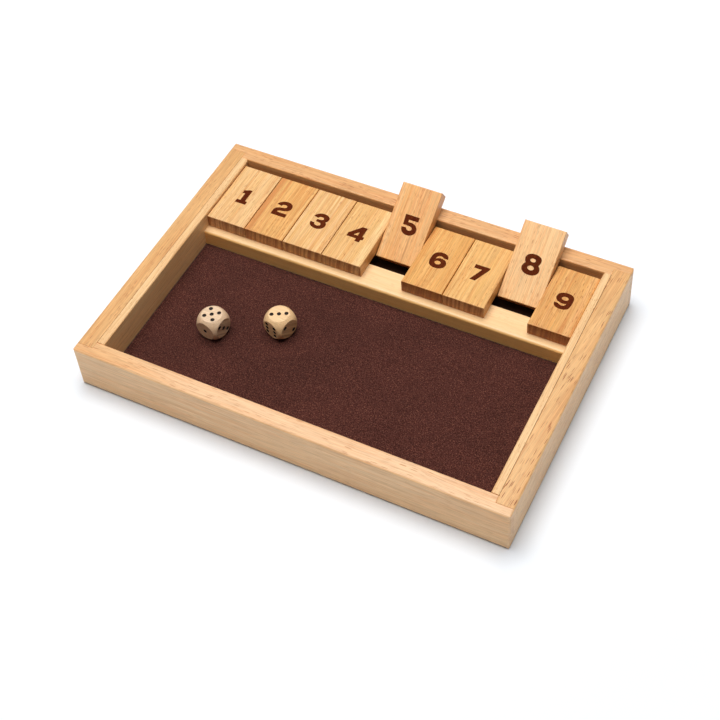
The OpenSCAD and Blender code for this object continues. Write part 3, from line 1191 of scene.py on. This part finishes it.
@dataclass
class FeltMat:
    """The felt lining of the tray: a thin laid sheet with an uneven top and loose fibres."""

    cell: float = 1.0 * MM
    inset: float = 0.12 * MM
    unevenness: float = 0.12 * MM
    fine_bumps: float = 2.2 * MM
    broad_bumps: float = 17 * MM
    edge_drop: float = 0.45 * MM
    edge_reach: float = 1.1 * MM
    fibre_length: float = 1.3 * MM
    fibre_width: float = 0.11 * MM
    fibre_rise: float = 0.14 * MM
    fibre_tilt: Span = (0.12, 0.22)
    fibre_sizes: tuple[Wave, Wave] = ((0.55, 0.7, 0.5), (1.35, 1.3, 1.2))
    fibres_to_square_mm: float = 1.0
    seed: int = 7
    finish: FeltFinish = field(default_factory=FeltFinish)

    def mat(self) -> bpy.types.Object:
        """Makes the mat as a closed sheet that fills the tray.

        Returns:
            The mat.
        """
        low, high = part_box("felt_mat")
        x0, x1 = low.x + self.inset, high.x - self.inset
        y0, y1 = low.y + self.inset, high.y - self.inset
        columns, rows = round((x1 - x0) / self.cell), round((y1 - y0) / self.cell)
        top: list[Vector] = []
        for j in range(rows + 1):
            for i in range(columns + 1):
                x, y = x0 + (x1 - x0) * i / columns, y0 + (y1 - y0) * j / rows
                top.append(Vector((x, y, self.height(x, y, (x0, x1, y0, y1), high.z))))
        wide = columns + 1
        faces = [(j * wide + i, j * wide + i + 1, (j + 1) * wide + i + 1, (j + 1) * wide + i)
                 for j in range(rows) for i in range(columns)]
        rim = list(range(columns))
        rim += [j * wide + columns for j in range(rows)]
        rim += [rows * wide + i for i in range(columns, 0, -1)]
        rim += [j * wide for j in range(rows, 0, -1)]
        first = len(top)
        low_rim = [Vector((top[v].x, top[v].y, low.z)) for v in rim]
        for n in range(len(rim)):
            m = (n + 1) % len(rim)
            faces.append((rim[m], rim[n], first + n, first + m))
        faces.append(tuple(first + n for n in reversed(range(len(rim)))))
        mesh = bpy.data.meshes.new("felt")
        mesh.from_pydata(top + low_rim, [], faces)
        mesh.update()
        for face in mesh.polygons[:columns * rows]:
            face.use_smooth = True
        return dressed_piece("felt", mesh, self.finish.material())

    def height(self, x: float, y: float, sides: Sequence[float], top: float) -> float:
        """Works out the height of the felt's surface at a place.

        Args:
            x, y: the place.
            sides: the mat's left, right, front and back.
            top: the highest that the felt may reach.

        Returns:
            The height.
        """
        fine = noise.noise(Vector((x, y, 0.3)) / self.fine_bumps)
        broad = noise.noise(Vector((x, y, 7.1)) / self.broad_bumps)
        gap = min(x - sides[0], sides[1] - x, y - sides[2], sides[3] - y)
        near = max(0.0, 1 - gap / self.edge_reach)
        return top - self.unevenness * (1 - 0.6 * fine - 0.4 * broad) * 0.7 - self.edge_drop * near * near

    def fibre(self) -> bpy.types.Object:
        """Makes one fibre: a closed spindle of three sides, bowed upwards.

        Returns:
            The fibre.
        """
        half, wide, rise = self.fibre_length / 2, self.fibre_width / 2, self.fibre_rise
        ring = [Vector((0, wide * math.cos(a), rise + wide * math.sin(a)))
                for a in (math.pi / 2, math.pi * 7 / 6, math.pi * 11 / 6)]
        faces = []
        for i in range(3):
            j = (i + 1) % 3
            faces += [(0, 2 + j, 2 + i), (1, 2 + i, 2 + j)]
        mesh = bpy.data.meshes.new("fibre")
        mesh.from_pydata([Vector((-half, 0, -wide)), Vector((half, 0, -wide)), *ring], [], faces)
        turn_outwards(mesh)
        return add_object("fibre", mesh)

    def nap(self, mat: bpy.types.Object) -> bpy.types.Object:
        """Scatters fibres over the mat's top.

        Args:
            mat: the finished mat.

        Returns:
            All fibres as one plain mesh.
        """
        fibre = self.fibre()
        layout = CopyLayout("felt_nap", fibre, (
            ("Density", "NodeSocketFloat", self.fibres_to_square_mm / (MM * MM)),
            ("Seed", "NodeSocketInt", self.seed)))
        normal = layout.add("GeometryNodeInputNormal")
        parts = layout.add("ShaderNodeSeparateXYZ")
        upward = layout.add("FunctionNodeCompare")
        upward.inputs[1].default_value = 0.5
        spread = layout.add("GeometryNodeDistributePointsOnFaces")
        along, across = self.fibre_tilt
        spin = self.random(layout, "FLOAT_VECTOR", (-along, -across, 0.0), (along, across, 2 * math.pi), 1)
        size = self.random(layout, "FLOAT_VECTOR", *self.fibre_sizes, 2)
        layout.link(
            (normal.outputs["Normal"], parts.inputs[0]), (parts.outputs["Z"], upward.inputs[0]),
            (layout.start["Geometry"], spread.inputs["Mesh"]),
            (upward.outputs["Result"], spread.inputs["Selection"]),
            (layout.start["Density"], spread.inputs["Density"]),
            (layout.start["Seed"], spread.inputs["Seed"]))
        copies = layout.copies(spread.outputs["Points"], spin, size)
        store = layout.add("GeometryNodeStoreNamedAttribute", domain="INSTANCE")
        store.inputs["Name"].default_value = "fibre_tone"
        layout.link((copies, store.inputs["Geometry"]),
                    (self.random(layout, "FLOAT", 0.0, 1.0, 3), store.inputs["Value"]))
        piece = layout.build("felt_fibres", mat.data.copy(), store.outputs["Geometry"],
                             self.finish.fibre_material())
        bpy.data.objects.remove(fibre)
        return piece

    def random(self, layout: CopyLayout, kind: str, low: Feed, high: Feed, draw: int) -> Socket:
        """Adds a random number or vector for each point.

        Args:
            layout: the tree.
            kind: FLOAT or FLOAT_VECTOR.
            low, high: its range.
            draw: tells one such node's seed from another's.

        Returns:
            The number or vector.
        """
        node = layout.add("FunctionNodeRandomValue", data_type=kind)
        is_vector = kind == "FLOAT_VECTOR"
        first = 0 if is_vector else 2
        node.inputs[first].default_value = low
        node.inputs[first + 1].default_value = high
        node.inputs["Seed"].default_value = self.seed * 10 + draw
        return node.outputs[0 if is_vector else 1]

    def dress(self) -> None:
        """Lays the mat in place of its CAD solid."""
        mat = self.mat()
        nap = self.nap(mat)
        for piece in (mat, nap):
            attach(piece, "case")
            log.info("%s: %d faces", piece.name, len(piece.data.polygons))
        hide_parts("felt_mat")


@dataclass
class Case:
    """The case's own pieces: rails, liners, ledge, base board and the tiles' rod."""

    # Front rail: painted light on the outer face, bluish painted light on the end faces
    front: WoodFinish = WoodFinish(
        "front_rail_wood", srgb(237, 195, 152), srgb(228, 177, 127), pore=srgb(178, 112, 62), seed=1.0,
        ring_width=4.5, ring_contrast=0.45, pith=(30.0, 22.0), sway=2.4, pore_amount=0.7,
        pore_length=8.0, pore_gap=0.7, outer_face_painted_light=(1.04, 1.03, 0.92), drift_tint=(0.94, 0.88, 0.74),
        end_tint=(0.96, 1.12, 1.3), end_rings=0.2)
    # Back rail: painted light on the side faces, painted shade on the end faces over the end grain's tone
    back: WoodFinish = WoodFinish(
        "back_rail_wood", srgb(228, 179, 128), srgb(219, 162, 102), pore=srgb(164, 94, 46), seed=2.6,
        ring_width=4.5, ring_contrast=0.5, pith=(30.0, 22.0), sway=2.4, pore_amount=0.75,
        pore_length=6.0, pore_gap=0.7, side_face_painted_light=(1.22, 1.20, 1.04),
        end_tint=(0.80, 0.85, 0.95), end_rings=0.25)
    # Right rail: strong bluish painted light on the outer face
    side: WoodFinish = WoodFinish(
        "side_rail_wood", srgb(227, 180, 123), srgb(215, 156, 92), pore=srgb(138, 60, 22), seed=4.0,
        ring_width=4.0, ring_contrast=0.35, pith=(26.0, 30.0), sway=2.4, pore_amount=1.0,
        pore_length=9.0, pore_gap=0.62, pore_share=(0.2, 0.6), slope=0.12, outer_face_painted_light=(1.12, 1.22, 1.42),
        end_seam=0.15)
    # Liners: painted light on the side faces
    liner: WoodFinish = WoodFinish(
        "liner_wood", srgb(238, 199, 148), srgb(229, 183, 127), pore=srgb(187, 127, 69), seed=7.0,
        ring_width=2.4, ring_contrast=0.4, pith=(50.0, 70.0), pore_amount=0.8, pore_length=3.4, pore_gap=0.7,
        side_seam=0.8, side_face_painted_light=(1.17, 1.12, 1.04))
    # Ledge: painted golden light and shade on the side faces
    shelf: WoodFinish = WoodFinish(
        "ledge_wood", srgb(244, 206, 156), srgb(237, 193, 136), pore=srgb(199, 142, 86), seed=11.0,
        ring_width=3.5, ring_contrast=0.25, pith=(60.0, 40.0), pore_amount=0.3, pore_length=5.0, pore_gap=0.7,
        fibre_contrast=0.08, line_contrast=0.12, side_face_painted_light=(1.1, 0.95, 0.62))
    board: WoodFinish = WoodFinish(
        "hardboard", srgb(70, 44, 30), srgb(56, 34, 24), pore=srgb(36, 22, 16), seed=15.0,
        ring_width=9.0, ring_contrast=0.3, pith=(10.0, 16.0), sway=6.0, pore_length=1.2, pore_gap=0.8,
        roughness=0.72, coat=0.0)
    steel: SteelFinish = SteelFinish()

    def left_side(self) -> WoodFinish:
        """Returns the left rail's wood, calmer than the right one's."""
        # A weaker bluish painted light on the left rail's outer face
        return replace(self.side, seed=5.3, pore_amount=0.5, pore_length=6.0, pore_share=(0.1, 0.8),
                       slope=0.0, outer_face_painted_light=(1.04, 1.08, 1.14))

    def dress(self) -> None:
        """Paints each of the case's nodes along its own grain."""
        along_x, along_y = GrainRun.ALONG_X, GrainRun.ALONG_Y
        to_left, to_right = Vector((-1, 0, 0)), Vector((1, 0, 0))
        to_front, to_back = Vector((0, -1, 0)), Vector((0, 1, 0))
        for name, finish, run, outward in (
            ("front_rail", self.front, along_x, to_front),
            ("back_rail", self.back, along_x, to_back),
            ("left_rail", self.left_side(), along_y, to_left),
            ("right_rail", self.side, along_y, to_right),
            ("left_liner", self.liner, along_y, to_left),
            ("right_liner", self.liner, along_y, to_right),
            ("ledge", self.shelf, along_x, None),
            ("base_board", self.board, along_x, None),
        ):
            low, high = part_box(name)
            grain = GrainFrame((low + high) / 2, run, outward=outward, half_size=(high - low) / 2 / MM)
            paint_node(name, finish.material(grain))
        paint_node("tile_rod", self.steel.material())


# Studio

@dataclass(frozen=True)
class PhotoCamera:
    """The camera at the photograph's viewing angle, high over the case's right front corner.

    The photograph is an off-centre crop, so the lens is shifted by a part of that.
    """

    place: Vector = Vector((0.2910, -0.4886, 0.6942))
    forward: Vector = Vector((-0.33406, 0.58732, -0.7372))
    right: Vector = Vector((0.89432, 0.44451, -0.05112))
    focal_length: float = 72.8
    sensor_width: float = 36.0
    shift: tuple[float, float] = (-0.0167, -0.1389)

    def build(self) -> None:
        """Makes the camera and sets it as the scene's."""
        data = bpy.data.cameras.new("photo_camera")
        data.sensor_fit = "HORIZONTAL"
        data.sensor_width = self.sensor_width
        data.lens = self.focal_length
        data.shift_x, data.shift_y = self.shift
        back = -self.forward.normalized()
        across = (self.right - back * self.right.dot(back)).normalized()
        turn = Matrix((across, back.cross(across), back)).transposed()
        camera = add_object("photo_camera", data)
        camera.matrix_world = Matrix.Translation(self.place) @ turn.to_4x4()
        bpy.context.scene.camera = camera


@dataclass(frozen=True)
class Studio:
    """A plain pale floor under one soft light from above and the back left, with a bright horizon."""

    key_place: Vector = Vector((-0.15, 0.11, 1.8))
    key_size: float = 1.42
    key_power: float = 43.5
    key_colour: Colour = (1.0, 0.97, 0.93)
    sky_colour: Colour = (0.74, 0.86, 1.0)
    sky_strength: float = 0.12
    horizon_strength: float = 0.9
    horizon_reach: float = 0.20
    floor_colour: Colour = (0.87, 0.92, 0.985)
    floor_half: float = 30.0
    floor_glow: Span = (0.2, 1.4)

    def build(self) -> None:
        """Makes the floor, the lamp and the sky."""
        self.floor()
        lamp = bpy.data.lights.new("key_light", "AREA")
        lamp.shape = "SQUARE"
        lamp.size = self.key_size
        lamp.energy = self.key_power
        lamp.color = self.key_colour
        key = add_object("key_light", lamp)
        key.location = self.key_place
        key.rotation_euler = (-self.key_place).to_track_quat("-Z", "Y").to_euler()
        self.sky()
        bpy.context.scene.view_settings.view_transform = "Standard"

    def sky(self) -> None:
        """Makes a dim sky that grows bright towards the horizon, as pale studio walls do."""
        world = bpy.data.worlds.new("studio_sky")
        world.use_nodes = True
        nodes, links = world.node_tree.nodes, world.node_tree.links
        background = nodes["Background"]
        background.inputs["Color"].default_value = (*self.sky_colour, 1.0)
        parts = nodes.new("ShaderNodeSeparateXYZ")
        rise = nodes.new("ShaderNodeMapRange")
        rise.interpolation_type = "SMOOTHSTEP"
        numbers = (0.0, self.horizon_reach, self.horizon_strength, self.sky_strength)
        for socket, number in zip(rise.inputs[1:5], numbers):
            socket.default_value = number
        links.new(nodes.new("ShaderNodeTexCoord").outputs["Generated"], parts.inputs[0])
        links.new(parts.outputs[2], rise.inputs[0])
        links.new(rise.outputs[0], background.inputs["Strength"])
        bpy.context.scene.world = world

    def floor(self) -> None:
        """Makes the floor as one wide sheet that glows further out."""
        board = NodeBoard("studio_floor")
        far = board.vector("LENGTH", board.object_place())
        board.feed(board.shader.inputs["Emission Strength"], board.step(far, *self.floor_glow))
        board.shader.inputs["Emission Color"].default_value = (1.0, 1.0, 1.0, 1.0)
        material = board.surface(self.floor_colour, 0.9, {"Specular IOR Level": 0.1})
        half = self.floor_half
        mesh = bpy.data.meshes.new("studio_floor")
        mesh.from_pydata([(-half, -half, 0), (half, -half, 0), (half, half, 0), (-half, half, 0)], [],
                         [(0, 1, 2, 3)])
        dressed_piece("studio_floor", mesh, material)


def tile_finishes() -> dict[int, WoodFinish]:
    """Lists the wood of each tile.

    Returns:
        The finishes, by the tile's number.
    """
    # Tiles: painted shade on the side faces, and on the end faces over the end grain's tone
    plain = WoodFinish(
        "tile_wood", srgb(236, 191, 132), srgb(224, 170, 95), pore=srgb(150, 76, 26), pith=(140.0, 12.0),
        ring_width=2.6, ring_contrast=0.55, pore_amount=0.55, pore_length=5.0, pore_gap=0.6,
        fibre_contrast=0.19, line_contrast=0.42, end_rings=0.7, side_face_painted_light=(0.94, 0.85, 0.78))

    def wood(number: int, pale: Colour, gold: Colour, *streaks: Streak, **changes: object) -> WoodFinish:
        """Returns one tile's wood, with what sets it apart."""
        return replace(plain, name=f"tile_wood_{number}", pale=pale, gold=gold, seed=20.0 + 3.1 * number,
                       streaks=streaks, **changes)

    # Tiles 3, 4, 6, 7 and 9 take deeper painted shade on their end faces
    return {
        1: wood(1, srgb(236, 196, 143), srgb(226, 174, 105), ring_contrast=0.45),
        2: wood(2, srgb(233, 182, 114), srgb(220, 160, 84), Streak(-11.5, 3.6, 0.95), Streak(-6.5, 1.2, 0.6),
                Streak(3.0, 0.9, 0.4), Streak(9.5, 1.0, 0.4), ring_contrast=0.6, line_contrast=0.5),
        3: wood(3, srgb(237, 194, 138), srgb(224, 171, 97), Streak(5.2, 1.4, 0.5), Streak(11.0, 1.2, 0.35),
                end_tint=(0.93, 0.80, 0.62)),
        4: wood(4, srgb(235, 191, 132), srgb(224, 170, 95), Streak(10.0, 4.5, 0.6, srgb(246, 210, 155)),
                end_tint=(0.90, 0.78, 0.66)),
        5: wood(5, srgb(240, 191, 129), srgb(231, 165, 90), Streak(3.5, 1.0, 0.6, srgb(177, 104, 42)),
                Streak(11.0, 4.0, 0.5, srgb(222, 162, 96)), Streak(-8.0, 3.0, 0.35, srgb(226, 160, 78)),
                pore_amount=0.5),
        6: wood(6, srgb(231, 178, 106), srgb(218, 154, 74), Streak(9.5, 4.0, 0.5, srgb(214, 148, 72)),
                end_tint=(0.72, 0.54, 0.38), line_contrast=0.5),
        7: wood(7, srgb(235, 188, 121), srgb(224, 168, 90), Streak(10.5, 4.0, 0.5, srgb(218, 162, 92)),
                end_tint=(0.88, 0.74, 0.74)),
        8: wood(8, srgb(242, 198, 140), srgb(236, 178, 113), Streak(10.0, 5.0, 0.4, srgb(232, 178, 114)),
                ring_contrast=0.25, pore_amount=0.6),
        9: wood(9, srgb(228, 175, 106), srgb(212, 148, 73), Streak(10.0, 3.0, 0.5, srgb(238, 188, 126)),
                ring_contrast=0.6, pore_amount=0.8, end_tint=(0.76, 0.58, 0.42), line_contrast=0.5),
    }


def dice() -> tuple[Die, Die]:
    """Lists the two dice.

    Returns:
        The dice, each with its wood and its faces to the top, the front and the right.
    """
    # Dice: a slight painted shade on the side faces and ends
    pale = WoodFinish(
        "die_wood_pale", srgb(230, 201, 170), srgb(217, 184, 148), seed=61.0, ring_width=2.2,
        ring_contrast=0.35, pore_amount=0.25, pore_length=3.0, line_contrast=0.12,
        end_tint=(0.97, 0.94, 0.90), side_face_painted_light=(1.0, 0.97, 0.92))
    gold = replace(pale, name="die_wood_gold", pale=srgb(240, 204, 158), gold=srgb(228, 182, 128), seed=67.0)
    return Die(1, (5, 1, 3), math.radians(8.5), pale), Die(2, (3, 6, 2), math.radians(17.0), gold)


def main() -> None:
    """Builds the studio and every piece in order."""
    logging.basicConfig(level=logging.INFO, format="%(message)s")
    PhotoCamera().build()
    Studio().build()
    Case().dress()
    FeltMat().dress()
    for number, wood in tile_finishes().items():
        NumberTile(number, wood).dress()
    for die in dice():
        die.dress()


if __name__ == "__main__":
    main()
